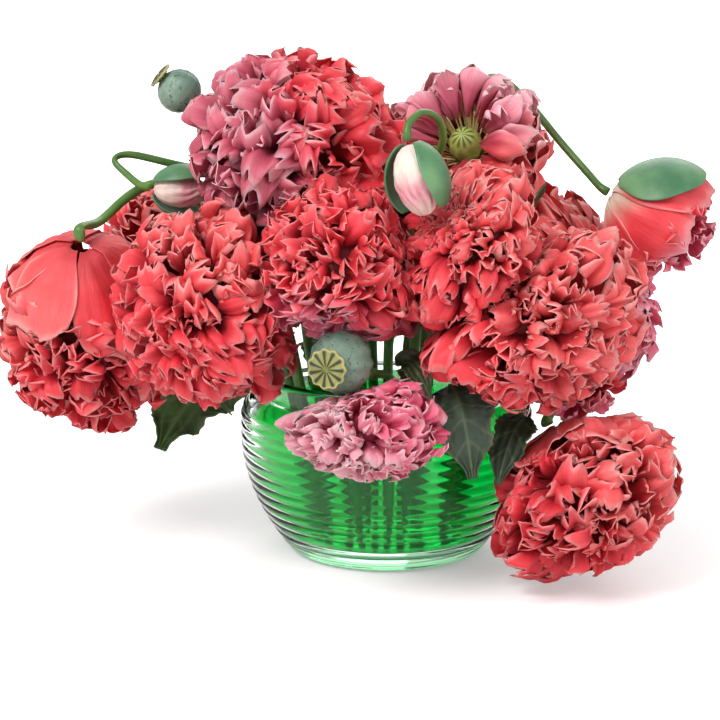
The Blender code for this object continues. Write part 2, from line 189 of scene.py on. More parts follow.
def closedRound(name, rings, material, colours=None, flags=None):
    # rings (ring, step, xyz) run from one pole to the other; quads join them and each pole is one small cap
    count, steps = rings.shape[:2]
    at = np.arange(count * steps).reshape(count, steps)
    nxt = np.roll(at, -1, axis=1)
    quads = np.stack([at[:-1], nxt[:-1], nxt[1:], at[1:]], axis=-1).reshape(-1, 4)
    return meshFrom(name, rings.reshape(-1, 3), quads, material, flags, colours)


def closeEnds(piece):
    # merges what is doubled at the poles and fills them
    bm = bmesh.new()
    bm.from_mesh(piece.data)
    bmesh.ops.remove_doubles(bm, verts=bm.verts, dist=0.00001)
    bmesh.ops.holes_fill(bm, edges=[e for e in bm.edges if e.is_boundary], sides=0)
    bmesh.ops.recalc_face_normals(bm, faces=bm.faces)
    for face in bm.faces:
        face.smooth = True
    bm.to_mesh(piece.data)
    bm.free()
    return piece


def smoothCopy(node, name, material, levels=2):
    # a copy of a CAD node, its loose triangles merged and joined to quads, then subdivided
    copy = bpy.data.objects.new(name, nodes[node].data.copy())
    bpy.context.scene.collection.objects.link(copy)
    bm = bmesh.new()
    bm.from_mesh(copy.data)
    bmesh.ops.remove_doubles(bm, verts=bm.verts, dist=0.00002)
    bmesh.ops.join_triangles(bm, faces=bm.faces, angle_face_threshold=0.7, angle_shape_threshold=0.9)
    for face in bm.faces:
        face.smooth = True
    bm.to_mesh(copy.data)
    bm.free()
    copy.data.materials.clear()
    copy.data.materials.append(material)
    divide = copy.modifiers.new("soften", "SUBSURF")
    divide.levels = divide.render_levels = levels
    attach(copy, "root")
    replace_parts(copy, node)
    return copy


def newMaterial(name):
    made = bpy.data.materials.new(name)
    made.use_nodes = True
    tree = made.node_tree
    return made, tree, tree.nodes["Principled BSDF"]


def add(tree, kind, **values):
    # a value goes to the node's own setting of that name, or else to its input
    node = tree.nodes.new(kind)
    for key, value in values.items():
        if hasattr(node, key):
            setattr(node, key, value)
        else:
            node.inputs[key].default_value = value
    return node


def ramp(tree, source, stops):
    # two stops of (place, colour)
    node = tree.nodes.new("ShaderNodeValToRGB")
    for element, (place, colour) in zip(node.color_ramp.elements, stops):
        element.position, element.color = place, (*colour, 1)
    tree.links.new(source, node.inputs["Fac"])
    return node.outputs["Color"]


def mixColour(tree, factor, a, b, blend="MIX"):
    node = tree.nodes.new("ShaderNodeMix")
    node.data_type, node.blend_type = "RGBA", blend
    for socket, value in ((node.inputs[0], factor), (node.inputs[6], a), (node.inputs[7], b)):
        if isinstance(value, bpy.types.NodeSocket):
            tree.links.new(value, socket)
        else:
            socket.default_value = value if isinstance(value, (int, float)) else (*value, 1)
    return node.outputs[2]


def setInputs(node, values):
    for label, value in values.items():
        node.inputs[label].default_value = value


def noiseOf(tree, scale, detail, rough=0.5):
    # noise that stays with the piece
    place = add(tree, "ShaderNodeTexCoord")
    noise = add(tree, "ShaderNodeTexNoise", Scale=scale, Detail=detail, Roughness=rough)
    tree.links.new(place.outputs["Object"], noise.inputs["Vector"])
    return noise.outputs["Fac"]


def bumpOf(tree, shader, height, strength, distance):
    bump = add(tree, "ShaderNodeBump", Strength=strength, Distance=distance)
    tree.links.new(height, bump.inputs["Height"])
    tree.links.new(bump.outputs[0], shader.inputs["Normal"])


def rangeOf(tree, value, low, high, atLow, atHigh):
    node = add(tree, "ShaderNodeMapRange")
    setInputs(node, {"From Min": low, "From Max": high, "To Min": atLow, "To Max": atHigh})
    tree.links.new(value, node.inputs["Value"])
    return node.outputs["Result"]


def wrinkleGroup():
    # fine lengthwise creases of a petal, which dent it, and a painted shade that darkens the creases, mixed
    # with a faint random mottle between them
    group = bpy.data.node_groups.new("petalWrinkles", "ShaderNodeTree")
    for label, low in (("Creases", 20.0), ("Mottle", 60.0)):
        socket = group.interface.new_socket(label, in_out="INPUT", socket_type="NodeSocketFloat")
        socket.default_value = low
    group.interface.new_socket("Height", in_out="OUTPUT", socket_type="NodeSocketFloat")
    group.interface.new_socket("Shade", in_out="OUTPUT", socket_type="NodeSocketFloat")
    enter, leave = group.nodes.new("NodeGroupInput"), group.nodes.new("NodeGroupOutput")
    at = add(group, "ShaderNodeAttribute", attribute_name="petalAt")
    stretch = add(group, "ShaderNodeVectorMath", operation="MULTIPLY")
    stretch.inputs[1].default_value = (1.0, 0.12, 3.0)
    group.links.new(at.outputs["Vector"], stretch.inputs[0])
    creases = add(group, "ShaderNodeTexNoise", Detail=3.0, Roughness=0.6)
    group.links.new(stretch.outputs[0], creases.inputs["Vector"])
    group.links.new(enter.outputs["Creases"], creases.inputs["Scale"])
    place = add(group, "ShaderNodeTexCoord")
    mottle = add(group, "ShaderNodeTexNoise", Detail=2.0)
    group.links.new(place.outputs["Object"], mottle.inputs["Vector"])
    group.links.new(enter.outputs["Mottle"], mottle.inputs["Scale"])
    group.links.new(creases.outputs["Fac"], leave.inputs["Height"])
    # painted shade: creases times mottle, dark where either is low
    both = add(group, "ShaderNodeMath", operation="MULTIPLY")
    group.links.new(creases.outputs["Fac"], both.inputs[0])
    group.links.new(mottle.outputs["Fac"], both.inputs[1])
    group.links.new(both.outputs[0], leave.inputs["Shade"])
    return group


petalLook = {  # bumps: strength and depth in metres
    # the crease stops are painted shade, darkest in the creases
    "bump": (0.35, 0.0009), "creases": [(0.12, (0.78, 0.70, 0.74)), (0.40, (1.0, 1.0, 1.0))],
    "skin": {"Roughness": 0.55, "Sheen Weight": 0.05, "Subsurface Weight": 0.08,
             "Subsurface Radius": (1.0, 0.25, 0.2), "Subsurface Scale": 0.004},
}


def petalMaterial():
    # each petal brings its own colours; a painted shade darkens the creases, which also dent them
    made, tree, shader = newMaterial("petal_skin")
    wrinkles = tree.nodes.new("ShaderNodeGroup")
    wrinkles.node_tree = wrinkleGroup()
    tint = add(tree, "ShaderNodeAttribute", attribute_name="petalTint")
    # painted shade in the creases multiplies the petal colour
    shade = ramp(tree, wrinkles.outputs["Shade"], petalLook["creases"])
    colour = mixColour(tree, 1.0, tint.outputs["Color"], shade, "MULTIPLY")
    tree.links.new(colour, shader.inputs["Base Color"])
    bumpOf(tree, shader, wrinkles.outputs["Height"], *petalLook["bump"])
    setInputs(shader, petalLook["skin"])
    return made


plantLooks = {  # patch: how fine the patches of the two greens are
    "stem_skin": {"dark": (0.045, 0.12, 0.022), "light": (0.12, 0.25, 0.045), "patch": 40.0, "rough": 0.42},
    "sepal_skin": {"dark": (0.05, 0.16, 0.075), "light": (0.13, 0.28, 0.12), "patch": 45.0, "rough": 0.45},
    "pod_skin": {"dark": (0.085, 0.16, 0.12), "light": (0.20, 0.29, 0.22), "patch": 60.0, "rough": 0.5,
                 "fleck": (0.015, 0.03, 0.025)},
}
plantBump = (0.4, 0.0004)
fleckEdge = [(0.58, (0, 0, 0)), (0.66, (1, 1, 1))]


def plantMaterial(name):
    # two greens in soft patches, and darker flecks where a fleck colour is given
    look = plantLooks[name]
    made, tree, shader = newMaterial(name)
    patches = noiseOf(tree, look["patch"], 4.0)
    colour = ramp(tree, patches, [(0.36, look["dark"]), (0.64, look["light"])])
    if "fleck" in look:
        spots = noiseOf(tree, look["patch"] * 6, 3.0, 0.7)
        colour = mixColour(tree, ramp(tree, spots, fleckEdge), colour, look["fleck"])
    tree.links.new(colour, shader.inputs["Base Color"])
    bumpOf(tree, shader, noiseOf(tree, look["patch"] * 10, 3.0), *plantBump)
    shader.inputs["Roughness"].default_value = look["rough"]
    return made


leafLook = {"patch": 90.0, "shade": [(0.3, (0.6, 0.6, 0.6)), (0.7, (1.1, 1.1, 1.0))], "bump": (0.5, 0.0008),
            "rough": 0.48}


def leafMaterial():
    # the tint with its veins is each piece's own attribute, and the noise mottles it
    made, tree, shader = newMaterial("leaf_skin")
    tint = add(tree, "ShaderNodeAttribute", attribute_name="petalTint")
    patches = noiseOf(tree, leafLook["patch"], 5.0)
    colour = mixColour(tree, 1.0, tint.outputs["Color"], ramp(tree, patches, leafLook["shade"]), "MULTIPLY")
    tree.links.new(colour, shader.inputs["Base Color"])
    bumpOf(tree, shader, patches, *leafLook["bump"])
    shader.inputs["Roughness"].default_value = leafLook["rough"]
    return made


# foot: painted green of the water seen through the glass foot, up to footHigh
glassLook = {"waves": 35.0, "bump": (0.12, 0.001), "clear": (0.93, 0.99, 0.95), "foot": (0.10, 0.72, 0.22),
             "footHigh": 0.014, "skin": {"Roughness": 0.03, "Transmission Weight": 1.0, "IOR": 1.30}}


def glassMaterial():
    # clear glass whose thick foot is painted green, standing in for the green of the water above seen
    # through it
    made, tree, shader = newMaterial("clear_glass")
    bumpOf(tree, shader, noiseOf(tree, glassLook["waves"], 2.0), *glassLook["bump"])
    place = add(tree, "ShaderNodeTexCoord")
    height = add(tree, "ShaderNodeSeparateXYZ")
    tree.links.new(place.outputs["Object"], height.inputs[0])
    # painted green of the water seen through the glass, below footHigh
    low = rangeOf(tree, height.outputs["Z"], 0.0, glassLook["footHigh"], 1.0, 0.0)
    colour = mixColour(tree, low, glassLook["clear"], glassLook["foot"])
    tree.links.new(colour, shader.inputs["Base Color"])
    setInputs(shader, glassLook["skin"])
    return made


waterLook = {"patch": 18.0, "green": [(0.3, (0.0, 0.43, 0.04)), (0.7, (0.0, 0.58, 0.08))],
             "skin": {"Roughness": 0.04, "Transmission Weight": 0.85, "IOR": 1.05}}


def waterMaterial():
    made, tree, shader = newMaterial("green_water")
    colour = ramp(tree, noiseOf(tree, waterLook["patch"], 2.0), waterLook["green"])
    tree.links.new(colour, shader.inputs["Base Color"])
    setInputs(shader, waterLook["skin"])
    return made


petalSkin = petalMaterial()
stemSkin = plantMaterial("stem_skin")
sepalSkin = plantMaterial("sepal_skin")
podSkin = plantMaterial("pod_skin")
leafSkin = leafMaterial()
glassSkin = glassMaterial()
waterSkin = waterMaterial()
print("materials made")


# colours are linear: deep is painted shade deep inside the bloom, face is the petal's own colour, light is a
# painted highlight for the sunny face near the tip, and rim is the thin pale rim
petalColours = {
    "coral": {"deep": (0.42, 0.003, 0.014), "face": (0.84, 0.028, 0.046), "light": (0.94, 0.13, 0.135),
              "rim": (0.97, 0.42, 0.40)},
    "salmon": {"deep": (0.50, 0.010, 0.022), "face": (0.90, 0.085, 0.090), "light": (0.96, 0.25, 0.23),
               "rim": (0.98, 0.55, 0.50)},
    "mauve": {"deep": (0.26, 0.010, 0.040), "face": (0.60, 0.085, 0.140), "light": (0.76, 0.28, 0.33),
              "rim": (0.88, 0.62, 0.63)},
    "rose": {"deep": (0.52, 0.014, 0.070), "face": (0.88, 0.12, 0.22), "light": (0.94, 0.37, 0.44),
             "rim": (0.98, 0.70, 0.73)},
    "blush": {"deep": (0.66, 0.12, 0.20), "face": (0.92, 0.36, 0.43), "light": (0.96, 0.63, 0.65),
              "rim": (0.98, 0.85, 0.82)},
}

# facing as in the frame; main and second colour, and the way in which the second one lies; number of petals;
# guards: how many smooth outer petals, and how far round they reach from the stem in degrees
bloomPlan = {
    "crown": {"facing": (-25, 30, 0), "main": "coral", "second": "mauve",
              "side": (-0.9, -0.2, -0.25), "shift": -0.05, "petals": 370},
    "left": {"facing": (-30, 0, 0), "main": "coral", "second": "salmon",
             "side": (0.4, 0, 1), "shift": 0.4, "petals": 345},
    "far_left": {"facing": (180, -63, 0), "main": "coral", "second": "salmon",
                 "side": (-0.6, 0, 0.8), "shift": 0.35, "petals": 275, "guards": (6, 62)},
    "centre": {"facing": (0, 0, 0), "main": "coral", "second": "rose",
               "side": (-0.3, 0, -1), "shift": 0.55, "petals": 320},
    "centre_right": {"facing": (12, 15, 0), "main": "coral", "second": "salmon",
                     "side": (0.4, 0, 0.9), "shift": 0.2, "petals": 285, "broad": 1.15},
    "right": {"facing": (14, -8, 0), "main": "salmon", "second": "coral",
              "side": (-0.8, 0, -0.5), "shift": 0.3, "petals": 345},
    "top": {"facing": (-15, 35, 0), "main": "salmon", "second": "blush",
            "side": (0, 0, 1), "shift": 0.3, "petals": 140, "cup": True},
    "right_back": {"facing": (76, 10, 0), "main": "salmon", "second": "rose",
                   "side": (0.6, 0, -0.8), "shift": 0.1, "petals": 305},
    "right_low": {"facing": (80, -20, 0), "main": "coral", "second": "rose",
                  "side": (0, 0, -1), "shift": 0.5, "petals": 125},
    "hanging": {"facing": (31, -54, -10), "main": "coral", "second": "salmon",
                "side": (0.8, -0.2, 0.5), "shift": 0.3, "petals": 275, "guards": (5, 62)},
    "pink": {"facing": (-10, -40, 22), "main": "rose", "second": "blush",
             "side": (-0.7, -0.2, -0.5), "shift": 0.0, "petals": 280},
    "left_back": {"facing": (-110, 0, 0), "main": "coral", "second": "salmon",
                  "side": (0, 0, 1), "shift": 0.3, "petals": 150},
    "back_left": {"facing": (-145, 0, 0), "main": "coral", "second": "rose",
                  "side": (-1, 0, 0), "shift": 0.4, "petals": 180},
    "back_centre": {"facing": (180, -5, 0), "main": "salmon", "second": "coral",
                    "side": (0, 0, -1), "shift": 0.2, "petals": 180},
    "back_right": {"facing": (145, 0, 0), "main": "coral", "second": "salmon",
                   "side": (1, 0, 0), "shift": 0.3, "petals": 180},
    "back_top": {"facing": (180, 50, 0), "main": "coral", "second": "mauve",
                 "side": (0, 1, 0), "shift": 0.5, "petals": 165},
    "nodding": {"facing": (83, -27, 0), "main": "coral", "second": "rose",
                "side": (0.7, 0, -0.7), "shift": 0.45, "petals": 100, "guards": (4, 112), "pale": True},
}

ruffle = {  # shares of the bloom's reach, and how many waves cross a petal; pairs are the least and the most
    "rows": 8, "columns": 13, "thick": 0.00035, "core": 0.42, "heart": 0.60, "nudge": 0.63, "stray": 0.02,
    "lean": 1.5, "width": (0.14, 0.31), "wave": (0.045, 0.11), "waves": (1.1, 2.6), "fine": 0.030,
    "fineWaves": (3.0, 5.5), "cup": (-0.10, 0.12), "curl": (-0.05, 0.36), "tip": (0.90, 1.12),
    "notch": (0.06, 0.20), "frills": ((0.010, (7, 12)), (0.006, (17, 25))), "bright": (0.86, 1.08),
}
guard = {  # the smooth outer petals; angles in degrees
    "rows": 22, "columns": 27, "start": 5, "long": (0.72, 1.15), "overlap": 1.45, "layer": 0.965,
    "step": 0.02, "fold": 0.022, "pleat": 0.010, "flare": (-0.02, 0.12), "flutter": 0.07, "hollow": 0.012,
    "luck": (0.2, 0.7), "cream": (0.80, 0.66, 0.50),
}
openCup = {"rings": ((6, 112, 1.0), (6, 100, 0.90)), "sink": 0.012, "pull": 0.25, "low": -0.5, "high": 0.80}
anyPhase = (0, 6.3)


def spread(count, rng):
    # directions evenly spread over a ball on a golden spiral, each nudged a little
    k = np.arange(count) + 0.5
    height = 1 - 2 * k / count
    turn = np.pi * (1 + 5 ** 0.5) * k
    ring = np.sqrt(1 - height ** 2)
    ways = np.stack([ring * np.cos(turn), ring * np.sin(turn), height], axis=-1)
    return unit(ways + rng.normal(0, ruffle["nudge"] / np.sqrt(count), ways.shape))


def drawer(rng, count):
    # a function that draws one number for each petal, shaped to meet the petal's grid
    return lambda low, high: rng.uniform(low, high, (count, 1, 1))


def paint(plan, ways, u, v, luck):
    # petal colour: painted shade (deep) low on the petal gives way to the face up the petal, a painted
    # highlight (light) near the tip, a thin pale rim, and all of them drift to the second colour on one side
    # of the bloom
    side = unit(np.array(plan["side"], dtype=float))
    drift = smooth(-0.35, 0.35, ways @ side - plan["shift"] + (luck - 0.5) * 0.35)[..., None]
    main, second = petalColours[plan["main"]], petalColours[plan["second"]]
    deep, face, light, edge = (blend(np.array(main[k]), np.array(second[k]), drift) for k in main)
    # painted shade: the deep colour at the foot of each petal, where the bloom is shaded
    colour = blend(deep, face, smooth(0.25, 0.80, v)[..., None])
    # painted highlight: the light colour near the tip, stronger on some petals than on others
    colour = blend(colour, light, (smooth(0.62, 1.0, v) * (0.05 + 0.75 * luck))[..., None])
    rim = np.maximum(smooth(0.93, 1.0, v), smooth(0.90, 1.0, np.abs(u)) * smooth(0.5, 0.8, v))[..., None]
    return blend(colour, edge, rim * 0.62)


def ruffledPetals(body, axes, plan, ways, rng):
    # each petal fans out from the middle along its own direction d. Across it runs e1, and e2 is the way it
    # curls: direction = d + e1 * across + e2 * (curl * v^2.4 + waves + hollow), and radius = from the core
    # to the tip, easing off outwards
    count = len(ways)
    draw = drawer(rng, count)
    v = np.linspace(0, 1, ruffle["rows"])[None, :, None] ** 0.8
    u = np.linspace(-1, 1, ruffle["columns"])[None, None, :]
    outward = ways * ways[:, 2:3] - np.array([0, 0, 1.0])
    outward = unit(outward + rng.normal(0, ruffle["stray"], outward.shape))
    lean = rng.normal(0, ruffle["lean"], (count, 1))
    crossway = unit(np.cross(ways, outward))
    e2 = outward * np.cos(lean) + crossway * np.sin(lean)
    e1 = np.cross(e2, ways)
    half = draw(*ruffle["width"]) * plan.get("broad", 1.0)
    across = u * half * (0.25 + 0.75 * np.sin(np.pi / 2 * v)) * (1 - 0.38 * v ** 5)
    waves = draw(*ruffle["wave"]) * v ** 1.2 * np.sin(np.pi * draw(*ruffle["waves"]) * u + draw(*anyPhase))
    ripple = np.sin(np.pi * draw(*ruffle["fineWaves"]) * u + draw(*anyPhase))
    waves = waves + ruffle["fine"] * v ** 2 * ripple
    hollow = draw(*ruffle["cup"]) * u ** 2
    curl = draw(*ruffle["curl"]) * v ** 2.4
    frill = sum(size * np.sin(draw(*often) * u + draw(*anyPhase)) for size, often in ruffle["frills"])
    tip = draw(*ruffle["tip"]) - draw(*ruffle["notch"]) * np.abs(u) ** 2.4 + frill
    radius = ruffle["core"] + (tip - ruffle["core"]) * np.sin(np.pi / 2 * v) ** 0.85
    sway = (curl + waves + hollow)[..., None]
    local = unit(ways[:, None, None] + e1[:, None, None] * across[..., None] + e2[:, None, None] * sway)
    world = local @ axes.T
    points = body.middle + world * (body.reach(world) * radius)[..., None]
    luck = np.broadcast_to(draw(0, 1), radius.shape)
    uu, vv = np.broadcast_to(u, radius.shape), np.broadcast_to(v, radius.shape)
    bright = np.broadcast_to(draw(*ruffle["bright"]), radius.shape)[..., None]
    colours = paint(plan, world, uu, vv, luck) * bright
    return points, np.stack([uu, vv, luck], axis=-1), colours


def guardPetals(body, axes, plan, count, reach, rng):
    # broad smooth petals from the stem round the outside: polar angle grows with v, turn grows with u,
    # and the free edge waves and flares
    draw = drawer(rng, count)
    v = np.linspace(0, 1, guard["rows"])[None, :, None]
    u = np.linspace(-1, 1, guard["columns"])[None, None, :]
    number = np.arange(count).reshape(-1, 1, 1)
    first = number / count * 2 * np.pi + draw(-0.3, 0.3)
    edge = 1 - 0.20 * u ** 4 + 0.03 * np.sin(draw(6, 9) * u + draw(*anyPhase))
    edge = edge + 0.012 * np.sin(17 * u + draw(*anyPhase))
    polar = np.radians(guard["start"]) + np.radians(reach) * draw(*guard["long"]) * v * edge
    turn = first + u * (np.pi / count * guard["overlap"]) * (0.80 + 0.2 * np.sin(np.pi * v))
    fold = guard["fold"] * np.sin(draw(2, 4) * np.pi * u + draw(*anyPhase)) * v
    fold = fold + guard["pleat"] * np.sin(draw(6, 9) * np.pi * u + 3 * v)
    flare = v ** 4 * (draw(*guard["flare"]) + guard["flutter"] * np.sin(draw(4, 7) * u + draw(*anyPhase)))
    layer = guard["layer"] + guard["step"] * (number % 2)
    radius = layer + fold * v + flare + guard["hollow"] * u ** 2
    local = np.stack(np.broadcast_arrays(np.sin(polar) * np.cos(turn), np.sin(polar) * np.sin(turn),
                                         -np.cos(polar) + 0 * turn), axis=-1)
    world = local @ axes.T
    points = body.middle + world * (body.reach(world) * radius)[..., None]
    shape = points.shape[:3]
    luck = np.broadcast_to(draw(*guard["luck"]), shape)
    uu, vv = np.broadcast_to(u, shape), np.broadcast_to(v, shape)
    colours = paint(plan, world, uu, 0.45 + 0.55 * vv, luck)
    if plan.get("pale"):  # cream at the stem
        white = (1 - smooth(0.10, 0.55, vv + 0.06 * np.sin(9 * uu)))[..., None]
        colours = blend(colours, np.array(guard["cream"]), white)
    return points, np.stack([uu * 2.2, vv * 3, luck], axis=-1), colours


def cupPetals(body, axes, plan, rng):
    # an open cup: rings of upright petals that rise from the stem and stand round an empty middle
    groups = []
    base = body.middle - axes[:, 2] * openCup["sink"]
    for count, reach, depth in openCup["rings"]:
        points, flags, colours = guardPetals(body, axes, plan, count, reach, rng)
        points = body.middle + (points - body.middle) * depth
        pull = (1 - smooth(0.0, 0.35, flags[..., 1:2] / 3)) * openCup["pull"]
        groups.append((blend(points, base, pull), flags, colours))
    return groups


def ballGrid(rows, steps, pole=0.02):
    # polar angle and turn of a grid on a ball that stops just short of both poles
    return np.meshgrid(np.linspace(pole, np.pi - pole, rows), np.linspace(0, 2 * np.pi, steps + 1)[:-1],
                       indexing="ij")


def ballPoints(polar, turn):
    # from the pole at the stem to the pole that looks the way the piece faces
    return np.stack([np.sin(polar) * np.cos(turn), np.sin(polar) * np.sin(turn), -np.cos(polar)], axis=-1)


def makeHeart(key, body, plan):
    # a closed heart behind the petals, so that nothing shows through between them; its dark colour is
    # painted shade
    ways = ballPoints(*ballGrid(18, 28))
    rings = body.middle + ways * (body.reach(ways) * ruffle["heart"])[..., None]
    # painted shade: the petals' deep colour, darker still
    dark = np.array(petalColours[plan["main"]]["deep"]) * 0.7
    tint = np.broadcast_to(dark, (rings.shape[0] * rings.shape[1], 3))
    closeEnds(closedRound(key + "_heart", rings, petalSkin, tint, np.zeros_like(tint)))


def makeBloom(key, plan, seed):
    rng = np.random.default_rng(seed)
    node = "bloom_" + key
    body, axes = Body(node), facingAxes(*plan["facing"])
    groups = []
    if plan.get("cup"):
        groups += cupPetals(body, axes, plan, rng)
    ways = spread(plan["petals"], rng)
    if plan.get("guards"):  # none of the ruffled petals stand where the smooth ones lie
        ways = ways[ways[:, 2] > -np.cos(np.radians(plan["guards"][1] * 0.80))]
    if plan.get("cup"):
        ways = ways[(ways[:, 2] > openCup["low"]) & (ways[:, 2] < openCup["high"])]
    groups.append(ruffledPetals(body, axes, plan, ways, rng))
    if plan.get("guards"):
        groups.append(guardPetals(body, axes, plan, *plan["guards"], rng))
    piece = thinSheets(key + "_petals", groups, ruffle["thick"], petalSkin)
    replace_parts(piece, node)
    if not plan.get("cup"):
        makeHeart(key, body, plan)


for number, (key, plan) in enumerate(bloomPlan.items()):
    makeBloom(key, plan, 100 + number)
print("blooms made")


def roundBody(node, name, axes, shape, tintOf, material):
    # a closed round piece in the solid's own space: shape(polar, turn) is its share of the solid's reach
    body = Body(node)
    polar, turn = ballGrid(48, 72, 0.01)
    world = ballPoints(polar, turn) @ axes.T
    points = body.middle + world * (body.reach(world) * shape(polar, turn))[..., None]
    tint = tintOf(polar, turn).reshape(-1, 3)
    flags = np.stack([turn / np.pi * 2, polar, 0 * turn], axis=-1).reshape(-1, 3)
    piece = closeEnds(closedRound(name, points, material, tint, flags))
    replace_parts(piece, node)


budPlan = {"front": (70, -76), "left": (95, -6)}  # the way each bud points: turn and tilt
budLook = {"share": 0.95, "fold": 0.03, "crease": 0.02, "crumple": 0.09, "cream": (0.90, 0.78, 0.66),
           "pink": (0.86, 0.30, 0.38)}


def budShape(polar, turn):
    # lengthwise folds that deepen and crumple towards the tip
    folds = budLook["fold"] * np.sin(5 * turn + 2 * np.sin(2 * polar))
    folds = folds + budLook["crease"] * np.sin(11 * turn + 3 * polar)
    crumple = budLook["crumple"] * smooth(1.4, 3.0, polar) * np.sin(13 * turn + 9 * polar)
    return budLook["share"] + (folds + crumple) * np.sin(polar)


def budTint(polar, turn):
    # a pink belt between the cream stem end and the cream tip
    pink = smooth(1.0, 2.0, polar) * (1 - 0.9 * smooth(2.1, 2.9, polar))
    streak = 0.15 * np.sin(17 * turn + 2 * polar)
    share = np.clip(pink * 0.85 + streak * pink, 0, 1)[..., None]
    return blend(np.array(budLook["cream"]), np.array(budLook["pink"]), share)


for key, facing in budPlan.items():
    roundBody(f"bud_{key}_petals", f"{key}_bud_petals", facingAxes(*facing), budShape, budTint, petalSkin)
    for side in ("left", "right"):
        smoothCopy(f"bud_{key}_sepal_{side}", f"{key}_bud_sepal_{side}", sepalSkin)
smoothCopy("sepal_nodding", "nodding_sepal", sepalSkin)

podPlan = {"high": (-82, 40), "front": (-22, 2)}
podLook = {"share": 0.965, "ribs": 12, "rib": 0.025, "green": (0.15, 0.24, 0.18)}
discLook = {  # heights are shares of the disc's depth, and the underside runs in to a neck
    "rays": 11, "topRows": 22, "underRows": 8, "steps": 132, "scallop": 0.05, "low": 0.15, "dome": 0.25,
    "ray": 0.30, "neck": 0.42, "taper": 0.22, "field": (0.34, 0.34, 0.10), "dark": (0.035, 0.045, 0.03),
    "edge": (0.50, 0.47, 0.18),
}


def podShape(polar, turn):
    # shallow ribs from the stem to the disc
    return podLook["share"] + podLook["rib"] * np.cos(podLook["ribs"] * turn) * np.sin(polar) ** 2


def podTint(polar, turn):
    return np.broadcast_to(np.array(podLook["green"]), polar.shape + (3,))


def makeDisc(key, axes):
    # the rayed cap: a scalloped dome whose rays stand up from its face, over a tapered underside
    node, look = f"pod_{key}_disc", discLook
    corners = trianglesOf(node).reshape(-1, 3) @ axes
    wide = (corners[:, 0].max() - corners[:, 0].min()) / 2
    deep = corners[:, 2].max() - corners[:, 2].min()
    outwards = np.linspace(0.02, 1, look["topRows"])
    inwards = np.linspace(1, 0.02, look["underRows"])
    share, turn = np.meshgrid(np.concatenate([outwards, inwards]),
                              np.linspace(0, 2 * np.pi, look["steps"] + 1)[:-1], indexing="ij")
    under = np.arange(len(share))[:, None] >= look["topRows"]
    rays = np.cos(turn * look["rays"])
    out = share * wide * (1 + look["scallop"] * rays * smooth(0.5, 1, share))
    ray = look["ray"] * smooth(-0.1, 0.8, rays) * np.sin(np.pi * share ** 0.7)
    top = deep * (look["low"] + look["dome"] * (1 - share ** 2) + ray)
    neck = deep * look["neck"] + wide * look["taper"] * (1 - smooth(0.35, 0.75, share))
    local = np.stack([out * np.cos(turn), out * np.sin(turn), np.where(under, -neck, top)], axis=-1)
    dark = smooth(-0.2, 0.7, rays)[..., None] * smooth(0.08, 0.2, share)[..., None]
    tint = blend(np.array(look["field"]), np.array(look["dark"]), dark)
    tint = blend(tint, np.array(look["edge"]), smooth(0.86, 0.95, share)[..., None])
    piece = closedRound(f"{key}_pod_disc", middleOf(node) + local @ axes.T, leafSkin,
                        tint.reshape(-1, 3), np.zeros((tint.size // 3, 3)))
    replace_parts(closeEnds(piece), node)


for key, facing in podPlan.items():
    axes = facingAxes(*facing)
    roundBody(f"pod_{key}", f"{key}_pod", axes, podShape, podTint, podSkin)
    makeDisc(key, axes)


youngPod = {"across": 0.0085, "along": 0.011, "lift": 0.004, "ribs": 10, "rib": 0.04,
            "green": (0.42, 0.48, 0.12), "ray": (0.10, 0.14, 0.03)}
threads = {"count": 70, "half": 0.03, "from": 0.006, "reach": 0.010, "more": 0.007, "low": -0.006,
           "rise": 0.020, "droop": 0.004, "thick": 0.0003, "straw": (0.78, 0.62, 0.25)}


def makeOpenHeart():
    # the young seed head and its ring of pale threads that show in the middle of the open bloom
    middle, axes = middleOf("bloom_top"), facingAxes(*bloomPlan["top"]["facing"])
    polar, turn = ballGrid(26, 60, 0.01)
    ribs = np.cos(youngPod["ribs"] * turn)
    across = (1 + youngPod["rib"] * ribs) * youngPod["across"]
    size = np.stack([across, across, np.full_like(across, youngPod["along"])], axis=-1)
    points = middle + (ballPoints(polar, turn) * size + np.array([0, 0, youngPod["lift"]])) @ axes.T
    ray = (smooth(2.2, 2.5, polar) * smooth(-0.2, 0.6, ribs))[..., None]
    tint = blend(np.array(youngPod["green"]), np.array(youngPod["ray"]), ray)
    closeEnds(closedRound("young_pod", points, leafSkin, tint.reshape(-1, 3),
                          np.zeros((tint.size // 3, 3))))

    draw = drawer(np.random.default_rng(7), threads["count"])
    way = draw(0, 2 * np.pi) + np.linspace(-threads["half"], threads["half"], 4)[None, None, :]
    t = np.linspace(0, 1, 8)[None, :, None]
    out = threads["from"] + (threads["reach"] + threads["more"] * draw(0, 1)) * t
    rise = threads["low"] + threads["rise"] * t - threads["droop"] * t ** 2 + 0 * way
    local = np.stack(np.broadcast_arrays(out * np.cos(way), out * np.sin(way), rise), axis=-1)
    points = middle + local @ axes.T
    tint = np.broadcast_to(np.array(threads["straw"]), points.shape)
    thinSheets("young_threads", [(points, points * 0, tint)], threads["thick"], petalSkin)


makeOpenHeart()
print("buds and seed heads made")


for node in [n for n in nodes if n.startswith("stem_")]:
    smoothCopy(node, node.replace("stem_", "") + "_stem", stemSkin)

